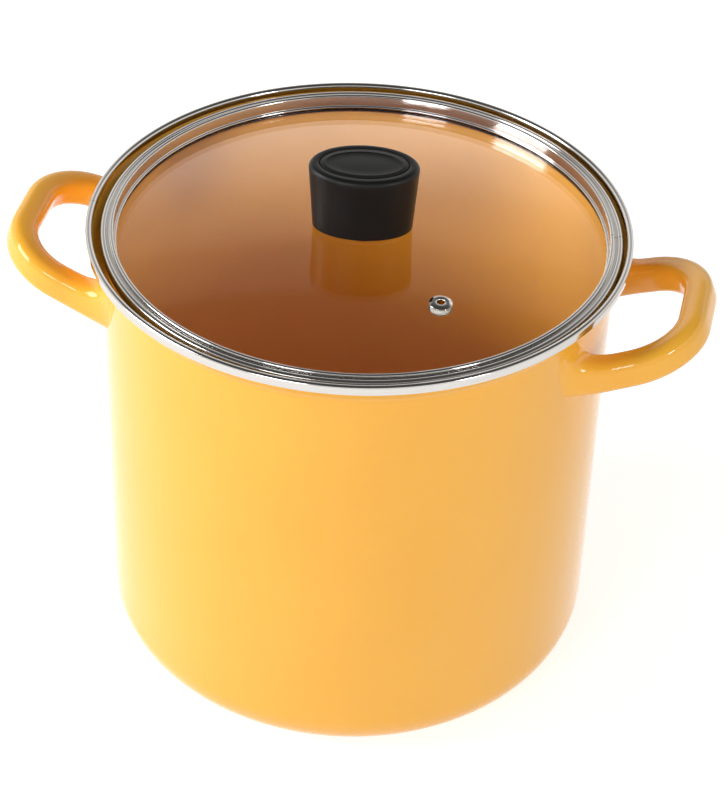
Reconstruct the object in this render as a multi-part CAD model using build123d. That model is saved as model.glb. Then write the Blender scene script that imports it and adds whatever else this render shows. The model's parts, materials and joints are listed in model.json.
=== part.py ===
from build123d import *
import os
from math import asin, cos, degrees, radians, sin, sqrt

# A stock-pot style water bath canner: an enamelled steel pot with two welded loop handles,
# a lift-off glass lid with a knob and a steam vent, and a low wire rack that keeps jars
# off the bottom. Millimetres. Origin: centre of the flat base. +Z up, handles along X.

# ---- Driving dimensions ----
POT_HEIGHT = 272.0
BODY_RADIUS = 140.0
WALL = 1.2
CORNER_RADIUS = 30.0
RIM_RADIUS = 148.5

# Flared mouth in which the lid rests, and the stainless trim on its edge
LIP_INNER_RADIUS = 145.6
FLARE_START = POT_HEIGHT - 14.0
FLARE_END = POT_HEIGHT - 4.5
FLARE_OFFSET = 0.4
BEAD_RADIUS = 147.9
BEAD_HEIGHT = 3.4
BEAD_TOP = POT_HEIGHT - 0.6
TRIM_SHEET = 0.5
TRIM_INNER_RADIUS = 145.0
TRIM_OUTER_LEG = 5.0
TRIM_INNER_LEG = 4.2
TRIM_JOINT_GAP = 0.3
TRIM_JOINT_ANGLE = 186.0

# Loop handles: a flattened steel tube bent in a loop that rises outwards, with flared feet
HANDLE_ROOT_X = 134.0
HANDLE_ROOT_HALF = 47.4
HANDLE_ROOT_Z = POT_HEIGHT - 45.2
HANDLE_RISE = 21.9
HANDLE_TURNS = {1: -2.0, -1: 180.3}
HANDLE_REACH = 57.0
HANDLE_SPLAY = 5.3
HANDLE_BEND_RADIUS = 33.0
HANDLE_THICKNESS = 16.0
HANDLE_TALL = 18.0
HANDLE_TUBE_WALL = 1.3
HANDLE_OUTER_CORNER = 7.2
HANDLE_INNER_CORNER = 6.0
HANDLE_START = 21.0
HANDLE_HOLLOW_START = 16.0
# Each foot section: distance along the branch, width, height, shift out and shift up
FOOT_SECTIONS = (
    (21.0, 16.0, 18.0, 0.0, 0.0),
    (14.0, 16.8, 20.0, 0.4, 0.6),
    (8.0, 19.5, 25.0, 1.6, 2.2),
    (3.5, 24.5, 32.0, 3.6, 4.8),
    (-1.5, 31.0, 39.0, 5.6, 7.4),
    (-12.0, 31.0, 39.0, 5.6, 7.4),
)
FOOT_CORNER_SHARE = 0.42
WELD_GAP = 0.05

# Lid: a domed tempered glass disc in a formed stainless band
LID_RADIUS = 141.8
LID_SIDE_PLAY = 1.2
LID_TOP = POT_HEIGHT - 1.9
LID_BOTTOM = POT_HEIGHT - 14.3
BAND_SHEET = 0.7
BAND_FLANGE_INNER = 136.3
BAND_STEP_INNER = 135.2
BAND_LIP_ROLL = 0.8
BAND_FOOT_RADIUS = 137.4
BAND_TAPER_TOP = POT_HEIGHT - 7.7
BAND_FOLD_INNER = 133.8
BAND_JOINT_GAP = 0.3
BAND_JOINT_ANGLE = 9.0
GLASS_RADIUS = 136.4
GLASS_THICKNESS = 4.0
GLASS_TOP = POT_HEIGHT - 2.3
GLASS_RISE = 7.0
GLASS_RISE_RADIUS = 134.5
GLASS_KNOB_HOLE = 4.2

# Oval knob, its cap, insert, screw and seals
KNOB_TURN = 9.0
KNOB_TALL = 38.0
KNOB_TOP_AXES = (30.0, 20.5)
KNOB_BASE_AXES = (26.5, 15.5)
KNOB_EDGE_ROUND = 3.0
CAP_AXES = (24.0, 14.8)
CAP_POCKET = 2.2
CAP_CLEARANCE = 0.15
INSERT_RADIUS = 5.0
INSERT_TALL = 18.0
SCREW_RADIUS = 2.5
SCREW_REACH = 12.0
SCREW_HEAD_RADIUS = 5.5
SCREW_HEAD_TALL = 3.2
WASHER_RADIUS = 10.0
WASHER_TALL = 1.2
SEAL_TALL = 1.2

# Steam vent: a rolled eyelet through the glass, on two silicone rings
VENT_DISTANCE = 80.4
VENT_ANGLE = -48.0
VENT_BORE_RADIUS = 2.3
VENT_TUBE_RADIUS = 3.2
VENT_FLANGE_RADIUS = 6.2
VENT_FLANGE_TALL = 1.1
VENT_HOLE_RADIUS = 4.2
VENT_SEAL_RADIUS = 5.4
VENT_SEAL_TALL = 0.6

# Jar rack: welded wire, with two bails that fold flat
RACK_RING_RADIUS = 124.0
RACK_INNER_RADIUS = 84.0
RACK_RING_WIRE = 2.5
RACK_GRID_WIRE = 1.75
RACK_RING_Z = 12.0
RACK_GRID_PITCH = 24.0
RACK_GRID_BARS = 9
RACK_FOOT_WIRE = 2.0
RACK_FOOT_ANGLES = (45.0, 135.0, 225.0, 315.0)
RACK_FOOT_WIDE = 18.0
RACK_FOOT_BEND = 4.0
RACK_FOOT_SINK = 1.0
RACK_FLOOR_CLEARANCE = 0.3
BAIL_WIRE = 2.0
BAIL_LENGTH = 100.0
BAIL_HINGE_X = 110.0
BAIL_HALF_WIDTH = 44.0
BAIL_CORNER = 16.0
BAIL_PIN_BEND = 3.0
BAIL_SIDE_PLAY = 0.6
BAIL_PIN_PROUD = 1.5
LUG_RADIUS = 3.6
LUG_WIDE = 5.0
LUG_CLEARANCE = 0.08
GRID_OVERHANG = 1.0


def make_folder():
    os.makedirs("parts", exist_ok=True)


def save(shape, node):
    export_step(shape, f"parts/{node}.step")


def spun(points, radii):
    """A closed outline in the radius-height plane, its corners rounded, turned about Z."""
    outline = FilletPolyline(*points, radius=radii, close=True)
    face = Plane.XZ * make_face(outline)
    return revolve(face, Axis.Z, 360)


def spun_sheet(points, radii, sheet):
    """A formed sheet profile: the centre line of the sheet, given its thickness, turned about Z."""
    line = FilletPolyline(*points, radius=radii)
    face = Plane.XZ * trace(line, sheet)
    return revolve(face, Axis.Z, 360)


def butt_joint(shape, radius, angle, gap):
    """Cuts the narrow gap where the two ends of a rolled ring meet."""
    slot = Pos(radius, 0, POT_HEIGHT) * Box(30, gap, 60)
    return shape - Rot(0, 0, angle) * slot


def on_lid(shape):
    """Shifts a lid piece by the side play with which the lid rests in its seat."""
    return Pos(LID_SIDE_PLAY, 0, 0) * shape


def glass_sphere():
    """Radius of the glass dome's top surface."""
    return (GLASS_RISE_RADIUS**2 + GLASS_RISE**2) / (2 * GLASS_RISE)


def glass_drop(distance):
    """How far the glass top lies below its crown at a distance from the centre."""
    sphere = glass_sphere()
    return sphere - sqrt(sphere**2 - distance**2)


def make_pot_shell():
    inner = BODY_RADIUS - WALL
    lip_outer = LIP_INNER_RADIUS + WALL
    bead_bottom = BEAD_TOP - BEAD_HEIGHT
    points = [
        (0, 0),
        (BODY_RADIUS, 0),
        (BODY_RADIUS, FLARE_START - FLARE_OFFSET),
        (lip_outer, FLARE_END - FLARE_OFFSET),
        (lip_outer, bead_bottom),
        (BEAD_RADIUS, bead_bottom),
        (BEAD_RADIUS, BEAD_TOP),
        (LIP_INNER_RADIUS, BEAD_TOP),
        (LIP_INNER_RADIUS, FLARE_END),
        (inner, FLARE_START),
        (inner, WALL),
        (0, WALL),
    ]
    radii = [0, CORNER_RADIUS, 7.0, 1.2, 0.4, 0.8, 1.0, 1.0, 2.0, 8.0, CORNER_RADIUS - WALL, 0]
    return spun(points, radii)


def make_rim_trim():
    half = TRIM_SHEET / 2
    left = TRIM_INNER_RADIUS + half
    right = RIM_RADIUS - half
    top = POT_HEIGHT - half
    points = [
        (left, POT_HEIGHT - TRIM_INNER_LEG),
        (left, top),
        (right, top),
        (right, POT_HEIGHT - TRIM_OUTER_LEG),
    ]
    ring = spun_sheet(points, [1.5, 1.15], TRIM_SHEET)
    return butt_joint(ring, RIM_RADIUS, TRIM_JOINT_ANGLE, TRIM_JOINT_GAP)


def tube_section(plane, thickness, tall, shrink):
    """The handle's rounded section: softer towards the outside of the loop than the inside."""
    x = thickness / 2 - shrink
    y = tall / 2 - shrink
    outer = HANDLE_OUTER_CORNER - shrink
    inner = HANDLE_INNER_CORNER - shrink
    corners = [(-x, -y), (x, -y), (x, y), (-x, y)]
    outline = FilletPolyline(*corners, radius=[inner, outer, outer, inner], close=True)
    return plane * make_face(outline)


def handle_plane():
    """The loop's own plane: X runs outwards and up along the rise, Y across the loop."""
    rise = radians(HANDLE_RISE)
    origin = (HANDLE_ROOT_X, 0, HANDLE_ROOT_Z)
    return Plane(origin=origin, x_dir=(cos(rise), 0, sin(rise)), z_dir=(-sin(rise), 0, cos(rise)))


def branch_point(along):
    """A point on one branch's centre line, at a distance from the root, in the loop's plane."""
    splay = radians(HANDLE_SPLAY)
    return Vector(along * cos(splay), -HANDLE_ROOT_HALF + along * sin(splay))


def handle_path(start):
    """The loop's centre line, its branches begun at a distance from the root."""
    corner_y = branch_point(HANDLE_REACH / cos(radians(HANDLE_SPLAY))).Y
    begin = branch_point(start)
    flat = FilletPolyline(
        (begin.X, begin.Y),
        (HANDLE_REACH, corner_y),
        (HANDLE_REACH, -corner_y),
        (begin.X, -begin.Y),
        radius=HANDLE_BEND_RADIUS,
    )
    return handle_plane() * flat


def handle_tube(start, shrink):
    path = handle_path(start)
    across = handle_plane().z_dir
    direction = path % 0
    section_plane = Plane(origin=path @ 0, x_dir=direction.cross(across), z_dir=direction)
    section = tube_section(section_plane, HANDLE_THICKNESS, HANDLE_TALL, shrink)
    return sweep(section, path=path)


def make_foot():
    """The flare at one branch's end: from the tube's section to the taller foot on the wall."""
    loop = handle_plane()
    sections = []
    for along, wide, tall, out, up in FOOT_SECTIONS:
        point = branch_point(along)
        centre = loop.from_local_coords(Vector(point.X, point.Y - out, 0)) + Vector(0, 0, up)
        share = 1 - max(0.0, min(1.0, along / HANDLE_START))
        rise = radians(HANDLE_RISE) * (1 - share)
        plane = Plane(origin=centre, x_dir=(0, -1, 0), z_dir=(-cos(rise), 0, -sin(rise)))
        corner = min(wide, tall) * FOOT_CORNER_SHARE
        sections.append(plane * RectangleRounded(wide, tall, corner))
    return loft(sections)


def make_handle(side):
    """A hollow loop, its feet shaped to the pot wall. side is +1 for +X and -1 for -X."""
    foot = make_foot()
    loop = handle_tube(HANDLE_START - 1.0, 0) + foot + mirror(foot, about=Plane.XZ)
    loop -= handle_tube(HANDLE_HOLLOW_START, HANDLE_TUBE_WALL)
    loop -= Cylinder(BODY_RADIUS + WELD_GAP, POT_HEIGHT * 3)
    return Rot(0, 0, HANDLE_TURNS[side]) * loop


def make_lid_glass():
    sphere = glass_sphere()
    centre = GLASS_TOP - sphere
    lower = sphere - GLASS_THICKNESS
    top_edge = centre + sqrt(sphere**2 - GLASS_RADIUS**2)
    bottom_edge = centre + sqrt(lower**2 - GLASS_RADIUS**2)
    half = asin(GLASS_RADIUS / sphere) / 2
    low_half = asin(GLASS_RADIUS / lower) / 2
    crown = (sphere * sin(half), centre + sphere * cos(half))
    belly = (lower * sin(low_half), centre + lower * cos(low_half))
    outline = Line((0, centre + lower), (0, GLASS_TOP))
    outline += ThreePointArc((0, GLASS_TOP), crown, (GLASS_RADIUS, top_edge))
    outline += Line((GLASS_RADIUS, top_edge), (GLASS_RADIUS, bottom_edge))
    outline += ThreePointArc((GLASS_RADIUS, bottom_edge), belly, (0, centre + lower))
    disc = revolve(Plane.XZ * make_face(outline), Axis.Z, 360)
    rim_edges = disc.edges().filter_by(GeomType.CIRCLE).group_by(SortBy.LENGTH)[-1]
    disc = fillet(rim_edges, 0.8)
    disc -= Pos(0, 0, POT_HEIGHT) * Cylinder(GLASS_KNOB_HOLE, 60)
    disc -= vent_place(Cylinder(VENT_HOLE_RADIUS, 60))
    return on_lid(disc)


def make_lid_band():
    half = BAND_SHEET / 2
    outer = LID_RADIUS - half
    lip = GLASS_RISE_RADIUS - 0.5
    lip_z = GLASS_TOP - glass_drop(lip) + BAND_LIP_ROLL
    points = [
        (BAND_FOLD_INNER, LID_BOTTOM + half),
        (BAND_FOOT_RADIUS - half, LID_BOTTOM + half),
        (outer, BAND_TAPER_TOP),
        (outer, LID_TOP - half),
        (BAND_FLANGE_INNER + half, LID_TOP - half),
        (BAND_STEP_INNER + half, lip_z + 0.9),
        (lip, lip_z),
    ]
    band = spun_sheet(points, [1.0, 1.5, 1.5, 0.8, 0.6], BAND_SHEET)
    roll = Plane.XZ * (Pos(lip, lip_z) * Circle(BAND_LIP_ROLL - 0.03))
    band += revolve(roll, Axis.Z, 360)
    return on_lid(butt_joint(band, LID_RADIUS, BAND_JOINT_ANGLE, BAND_JOINT_GAP))


def knob_base_height():
    return GLASS_TOP + SEAL_TALL


def turned(shape):
    """Turns a knob piece to the angle at which the knob was tightened."""
    return on_lid(Rot(0, 0, KNOB_TURN) * shape)


def make_knob_body():
    base = knob_base_height()
    low = Pos(0, 0, base) * Ellipse(*KNOB_BASE_AXES)
    high = Pos(0, 0, base + KNOB_TALL) * Ellipse(*KNOB_TOP_AXES)
    body = loft([low, high])
    body = fillet(body.edges().sort_by(Axis.Z)[-1:], KNOB_EDGE_ROUND)
    pocket = Pos(0, 0, base + KNOB_TALL - CAP_POCKET) * Ellipse(*CAP_AXES)
    body -= extrude(pocket, CAP_POCKET * 2)
    socket = Pos(0, 0, base + INSERT_TALL / 2) * Cylinder(INSERT_RADIUS, INSERT_TALL)
    return turned(body - socket)


def make_knob_cap():
    """The oval disc set into the knob's top, crowned a little, with a shallow plain panel."""
    base = knob_base_height() + KNOB_TALL - CAP_POCKET
    long_axis, short_axis = CAP_AXES
    long_axis -= CAP_CLEARANCE
    short_axis -= CAP_CLEARANCE
    disc = extrude(Pos(0, 0, base) * Ellipse(long_axis, short_axis), CAP_POCKET)
    disc = fillet(disc.edges().sort_by(Axis.Z)[-1:], 0.8)
    panel = Pos(0, 0, base + CAP_POCKET - 0.4) * Ellipse(long_axis - 5, short_axis - 4.5)
    return turned(disc - extrude(panel, 2))


def make_knob_insert():
    """Brass insert moulded into the knob, bored for the screw's thread."""
    base = knob_base_height()
    body = Pos(0, 0, base + INSERT_TALL / 2) * Cylinder(INSERT_RADIUS, INSERT_TALL)
    bore = Pos(0, 0, base + SCREW_REACH / 2) * Cylinder(SCREW_RADIUS, SCREW_REACH + 2)
    return turned(body - bore)


def glass_under():
    """Height of the flat fittings' contact plane, just under the lowest glass they cover."""
    return GLASS_TOP - GLASS_THICKNESS - glass_drop(WASHER_RADIUS + 1.0) - 0.02


def make_knob_screw():
    """Domed cross-recess screw, driven up from under the glass."""
    head_top = glass_under() - SEAL_TALL - WASHER_TALL
    head_bottom = head_top - SCREW_HEAD_TALL
    shank_top = knob_base_height() + SCREW_REACH - 0.5
    points = [
        (0, head_bottom),
        (SCREW_HEAD_RADIUS, head_bottom),
        (SCREW_HEAD_RADIUS, head_top),
        (SCREW_RADIUS - 0.02, head_top),
        (SCREW_RADIUS - 0.02, shank_top),
        (0, shank_top),
    ]
    screw = spun(points, [0, 2.2, 0.2, 0, 0.6, 0])
    for turn in (0, 90):
        recess = Pos(0, 0, head_bottom) * Box(5.0, 1.1, 2.4)
        screw -= Rot(0, 0, turn) * recess
    return on_lid(screw)


def flat_ring(outer, inner, bottom, tall):
    ring = Cylinder(outer, tall) - Cylinder(inner, tall * 2)
    return Pos(0, 0, bottom + tall / 2) * ring


def make_knob_washer():
    bottom = glass_under() - SEAL_TALL - WASHER_TALL
    return on_lid(flat_ring(WASHER_RADIUS, SCREW_RADIUS + 0.3, bottom, WASHER_TALL))


def make_lower_seal():
    bottom = glass_under() - SEAL_TALL
    return on_lid(flat_ring(WASHER_RADIUS + 1.0, SCREW_RADIUS + 0.3, bottom, SEAL_TALL))


def make_upper_seal():
    """Thin oval seal between the knob and the crown of the glass."""
    long_axis, short_axis = KNOB_BASE_AXES
    seal = extrude(Pos(0, 0, GLASS_TOP) * Ellipse(long_axis - 2.5, short_axis - 2.0), SEAL_TALL)
    seal -= Pos(0, 0, GLASS_TOP) * Cylinder(SCREW_RADIUS + 0.3, 10)
    return turned(seal)


def vent_place(shape):
    """Puts a piece drawn about Z through the glass at the vent, square to the dome."""
    height = GLASS_TOP - glass_drop(VENT_DISTANCE)
    lean = degrees(asin(VENT_DISTANCE / glass_sphere()))
    placed = Pos(VENT_DISTANCE, 0, height) * (Rot(0, lean, 0) * shape)
    return Rot(0, 0, VENT_ANGLE) * placed


def make_vent_eyelet():
    top = VENT_SEAL_TALL + VENT_FLANGE_TALL
    bottom = -GLASS_THICKNESS - VENT_SEAL_TALL - VENT_FLANGE_TALL
    points = [
        (VENT_BORE_RADIUS, bottom),
        (VENT_FLANGE_RADIUS, bottom),
        (VENT_FLANGE_RADIUS, bottom + VENT_FLANGE_TALL),
        (VENT_TUBE_RADIUS, bottom + VENT_FLANGE_TALL),
        (VENT_TUBE_RADIUS, top - VENT_FLANGE_TALL),
        (VENT_FLANGE_RADIUS, top - VENT_FLANGE_TALL),
        (VENT_FLANGE_RADIUS, top),
        (VENT_BORE_RADIUS, top),
    ]
    eyelet = spun(points, [0.8, 0.9, 0.15, 0.2, 0.2, 0.15, 0.9, 0.8])
    return on_lid(vent_place(eyelet))


def make_vent_seals():
    upper = flat_ring(VENT_SEAL_RADIUS, VENT_TUBE_RADIUS + 0.1, 0.03, VENT_SEAL_TALL - 0.05)
    low = -GLASS_THICKNESS - VENT_SEAL_TALL + 0.02
    lower = flat_ring(VENT_SEAL_RADIUS, VENT_TUBE_RADIUS + 0.1, low, VENT_SEAL_TALL - 0.05)
    return Compound(children=[on_lid(vent_place(upper)), on_lid(vent_place(lower))])


def wire_ring(radius, wire, height):
    return Pos(0, 0, height) * Torus(radius, wire)


def grid_height():
    return RACK_RING_Z + RACK_RING_WIRE + RACK_GRID_WIRE


def make_grid_bars():
    """Parallel bars laid over both rings, each cut to the chord of the outer ring."""
    bars = []
    for number in range(RACK_GRID_BARS):
        y = (number - (RACK_GRID_BARS - 1) / 2) * RACK_GRID_PITCH
        length = 2 * (sqrt(RACK_RING_RADIUS**2 - y**2) + GRID_OVERHANG)
        bar = Rot(0, 90, 0) * Cylinder(RACK_GRID_WIRE, length)
        bars.append(Pos(0, y, grid_height()) * bar)
    return Compound(children=bars)


def make_rack_feet():
    """Bent-wire legs, each a narrow hoop from the inner ring down to the pot's bottom."""
    floor = WALL + RACK_FLOOR_CLEARANCE
    top = RACK_RING_Z - RACK_RING_WIRE + RACK_FOOT_SINK
    low = floor + RACK_FOOT_WIRE
    half = RACK_FOOT_WIDE / 2
    feet = []
    for angle in RACK_FOOT_ANGLES:
        path = FilletPolyline(
            (RACK_INNER_RADIUS, -half, top),
            (RACK_INNER_RADIUS, -half, low),
            (RACK_INNER_RADIUS, half, low),
            (RACK_INNER_RADIUS, half, top),
            radius=RACK_FOOT_BEND,
        )
        section = Plane(origin=path @ 0, z_dir=path % 0) * Circle(RACK_FOOT_WIRE)
        hoop = sweep(section, path=path)
        hoop -= wire_ring(RACK_INNER_RADIUS, RACK_RING_WIRE, RACK_RING_Z)
        feet.append(Rot(0, 0, angle) * hoop)
    return Compound(children=feet)


def lug_y():
    """Where a bail's lug stands along Y: just outside the bail's leg."""
    return BAIL_HALF_WIDTH + BAIL_WIRE + LUG_WIDE / 2 + BAIL_SIDE_PLAY


def bail_height():
    """The hinge line: a lug's radius above the bars that it is welded to."""
    return grid_height() + RACK_GRID_WIRE + LUG_RADIUS


def make_lugs():
    """Four short eyes welded to the outer ring and its bars, two for each bail."""
    lugs = []
    bore_radius = BAIL_WIRE + LUG_CLEARANCE
    for side in (-1, 1):
        for end in (-1, 1):
            eye = Cylinder(LUG_RADIUS, LUG_WIDE) - Cylinder(bore_radius, LUG_WIDE * 2)
            eye = Rot(90, 0, 0) * eye
            lugs.append(Pos(side * BAIL_HINGE_X, end * lug_y(), bail_height()) * eye)
    return Compound(children=lugs)


def make_bail(side):
    """A folding wire bail, lying flat over the grid. side is +1 for +X and -1 for -X."""
    height = bail_height()
    reach = BAIL_HINGE_X - BAIL_LENGTH
    pin_end = lug_y() + LUG_WIDE / 2 + BAIL_PIN_PROUD
    path = FilletPolyline(
        (BAIL_HINGE_X, -pin_end, height),
        (BAIL_HINGE_X, -BAIL_HALF_WIDTH, height),
        (reach, -BAIL_HALF_WIDTH, height),
        (reach, BAIL_HALF_WIDTH, height),
        (BAIL_HINGE_X, BAIL_HALF_WIDTH, height),
        (BAIL_HINGE_X, pin_end, height),
        radius=[BAIL_PIN_BEND, BAIL_CORNER, BAIL_CORNER, BAIL_PIN_BEND],
    )
    section = Plane(origin=path @ 0, z_dir=path % 0) * Circle(BAIL_WIRE)
    bail = sweep(section, path=path)
    return Rot(0, 0, 0 if side > 0 else 180) * bail


def main():
    make_folder()
    pieces = {
        "pot_shell": make_pot_shell(),
        "pot_rim_trim": make_rim_trim(),
        "handle_right": make_handle(1),
        "handle_left": make_handle(-1),
        "lid_glass": make_lid_glass(),
        "lid_band": make_lid_band(),
        "knob_body": make_knob_body(),
        "knob_cap": make_knob_cap(),
        "knob_insert": make_knob_insert(),
        "knob_screw": make_knob_screw(),
        "knob_washer": make_knob_washer(),
        "knob_seal_lower": make_lower_seal(),
        "knob_seal_upper": make_upper_seal(),
        "vent_eyelet": make_vent_eyelet(),
        "vent_seals": make_vent_seals(),
        "rack_outer_ring": wire_ring(RACK_RING_RADIUS, RACK_RING_WIRE, RACK_RING_Z),
        "rack_inner_ring": wire_ring(RACK_INNER_RADIUS, RACK_RING_WIRE, RACK_RING_Z),
        "rack_grid_bars": make_grid_bars(),
        "rack_feet": make_rack_feet(),
        "rack_lugs": make_lugs(),
        "rack_bail_right": make_bail(1),
        "rack_bail_left": make_bail(-1),
    }
    for node, shape in pieces.items():
        save(shape, node)


main()
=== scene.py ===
import json
import logging
import math
from dataclasses import dataclass
from enum import Enum
from typing import Optional, Sequence

import bmesh
import bpy
from mathutils import Matrix, Vector


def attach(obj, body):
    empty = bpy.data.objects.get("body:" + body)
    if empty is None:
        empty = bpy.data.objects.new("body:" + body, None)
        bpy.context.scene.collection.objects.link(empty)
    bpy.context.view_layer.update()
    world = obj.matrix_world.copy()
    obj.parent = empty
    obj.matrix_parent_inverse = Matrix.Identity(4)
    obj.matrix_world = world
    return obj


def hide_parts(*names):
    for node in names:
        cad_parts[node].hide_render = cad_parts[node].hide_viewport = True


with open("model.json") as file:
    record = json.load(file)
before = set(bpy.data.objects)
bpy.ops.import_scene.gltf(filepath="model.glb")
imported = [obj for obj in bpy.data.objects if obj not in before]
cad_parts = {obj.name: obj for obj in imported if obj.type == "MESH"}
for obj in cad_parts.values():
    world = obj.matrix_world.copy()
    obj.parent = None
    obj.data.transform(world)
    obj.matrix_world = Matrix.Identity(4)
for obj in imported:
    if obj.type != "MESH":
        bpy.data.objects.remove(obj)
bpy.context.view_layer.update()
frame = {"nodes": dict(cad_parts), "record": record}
WELD = 1e-6
STRAIGHT = math.radians(89.5)
BLADE_LONG = 0.03
BLADE_TALL = 0.06
LEFT_HANDLE_TURN = math.radians(180.3)

log = logging.getLogger("canner")

Piece = bpy.types.Object
Material = bpy.types.Material
Tree = bpy.types.NodeTree
Node = bpy.types.Node
Socket = bpy.types.NodeSocket
Point2 = tuple[float, float]
Point3 = tuple[float, float, float]
Station = tuple[Vector, Vector, Vector]
Colour = tuple[float, float, float, float]


class Body(Enum):
    """The moving bodies that new pieces ride on."""

    POT = "pot"
    LID = "lid"


class Slot(Enum):
    """The material slots of the record."""

    ENAMEL = "enamel"
    STAINLESS = "stainless"
    GLASS = "glass"
    PHENOLIC = "phenolic"
    BRASS = "brass"
    SILICONE = "silicone"
    RACK_WIRE = "rack_wire"


Finishes = dict[Slot, Material]


# ---------------------------------------------------------------- shader tools


class Wiring:
    """Adds and links nodes in one node tree."""

    def __init__(self, tree: Tree) -> None:
        """Takes the tree to work in."""
        self.tree = tree

    def add(self, kind: str, **settings: object) -> Node:
        """Adds a node and sets its properties and inputs.

        Args:
            kind: the node's type name.
            settings: as for put.

        Returns:
            The new node.
        """
        node = self.tree.nodes.new(kind)
        self.put(node, **settings)
        return node

    def put(self, node: Node, **settings: object) -> None:
        """Sets a node's properties and inputs.

        Args:
            node: the node.
            settings: node properties by name, or inputs by name with spaces as underscores.
        """
        for name, value in settings.items():
            if hasattr(node, name):
                setattr(node, name, value)
            else:
                self.feed(node.inputs[name.replace("_", " ")], value)

    def link(self, source: Socket, target: Socket) -> None:
        """Joins two sockets."""
        self.tree.links.new(source, target)

    def feed(self, socket: Socket, value: object) -> None:
        """Gives an input socket a value, or a link where the value is a socket."""
        if isinstance(value, Socket):
            self.link(value, socket)
        else:
            socket.default_value = value

    def math(self, operation: str, *values: object) -> Socket:
        """Adds a Math node.

        Args:
            operation: the Math node's operation.
            values: up to three numbers or sockets.

        Returns:
            The node's output.
        """
        node = self.tree.nodes.new("ShaderNodeMath")
        node.operation = operation
        for number, value in enumerate(values):
            self.feed(node.inputs[number], value)
        return node.outputs[0]

    def blend(self, factor: object, first: object, second: object) -> Socket:
        """Mixes two colours.

        Args:
            factor: a number or socket from 0 to 1.
            first: the colour or socket at 0.
            second: the colour or socket at 1.

        Returns:
            The mixed colour.
        """
        node = self.tree.nodes.new("ShaderNodeMix")
        node.data_type = "RGBA"
        for index, value in ((0, factor), (6, first), (7, second)):
            self.feed(node.inputs[index], value)
        return node.outputs[2]

    def span(self, value: Socket, low: float, high: float) -> Socket:
        """Maps a 0 to 1 value onto low to high."""
        return self.add("ShaderNodeMapRange", Value=value, To_Min=low, To_Max=high).outputs[0]


def new_group(
    name: str, inputs: Sequence[tuple[str, str, float]], outputs: Sequence[tuple[str, str]]
) -> tuple[Tree, Node, Node]:
    """Makes an empty shader node group.

    Args:
        name: the group's name.
        inputs: name, socket type and default of each input.
        outputs: name and socket type of each output.

    Returns:
        The group, its input node and its output node.
    """
    group = bpy.data.node_groups.new(name, "ShaderNodeTree")
    for label, kind, default in inputs:
        socket = group.interface.new_socket(name=label, in_out="INPUT", socket_type=kind)
        if kind == "NodeSocketFloat":
            socket.default_value = default
    for label, kind in outputs:
        group.interface.new_socket(name=label, in_out="OUTPUT", socket_type=kind)
    return group, group.nodes.new("NodeGroupInput"), group.nodes.new("NodeGroupOutput")


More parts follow.
